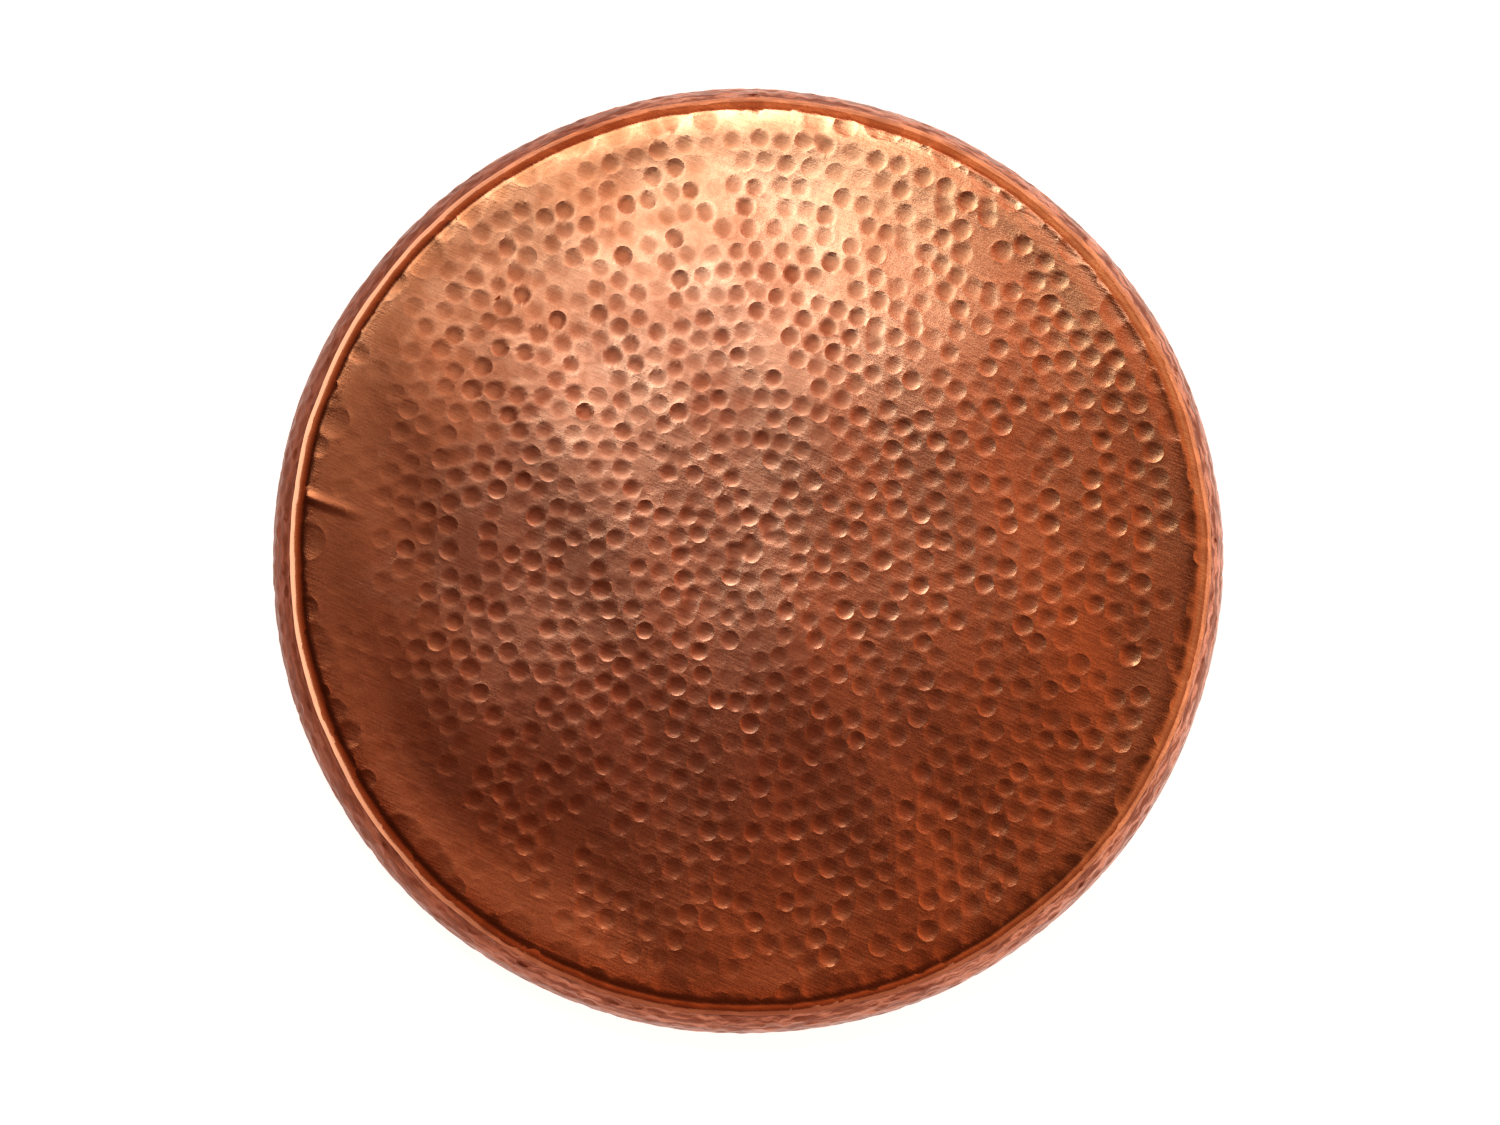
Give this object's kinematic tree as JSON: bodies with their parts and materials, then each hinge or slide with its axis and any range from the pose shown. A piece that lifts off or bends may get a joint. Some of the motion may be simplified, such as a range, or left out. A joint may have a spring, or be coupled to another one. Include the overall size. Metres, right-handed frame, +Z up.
{
  "type": "hammered copper tray",
  "caption": "Round hammered copper tray: low recessed floor, rounded rim lapped over a bulging side, and a wired foot.",
  "frame": {"origin": "on the table, under the middle of the tray", "axes": "+Z up, out of the tray's open face; +X and +Y across the tray, which is round, so they have no marked direction"},
  "size_m": [0.6, 0.6, 0.05],
  "materials": {
    "floor_copper": "hand-hammered copper, worn bright on the high spots, brown patina in the hollows",
    "side_copper": "hand-hammered copper, paler and less saturated than the floor",
    "wire_steel": "plain drawn steel wire"
  },
  "bodies": {
    "root": {"floor_sheet": "floor_copper", "side_band": "side_copper", "edge_wire": "wire_steel"}
  },
  "joints": []
}
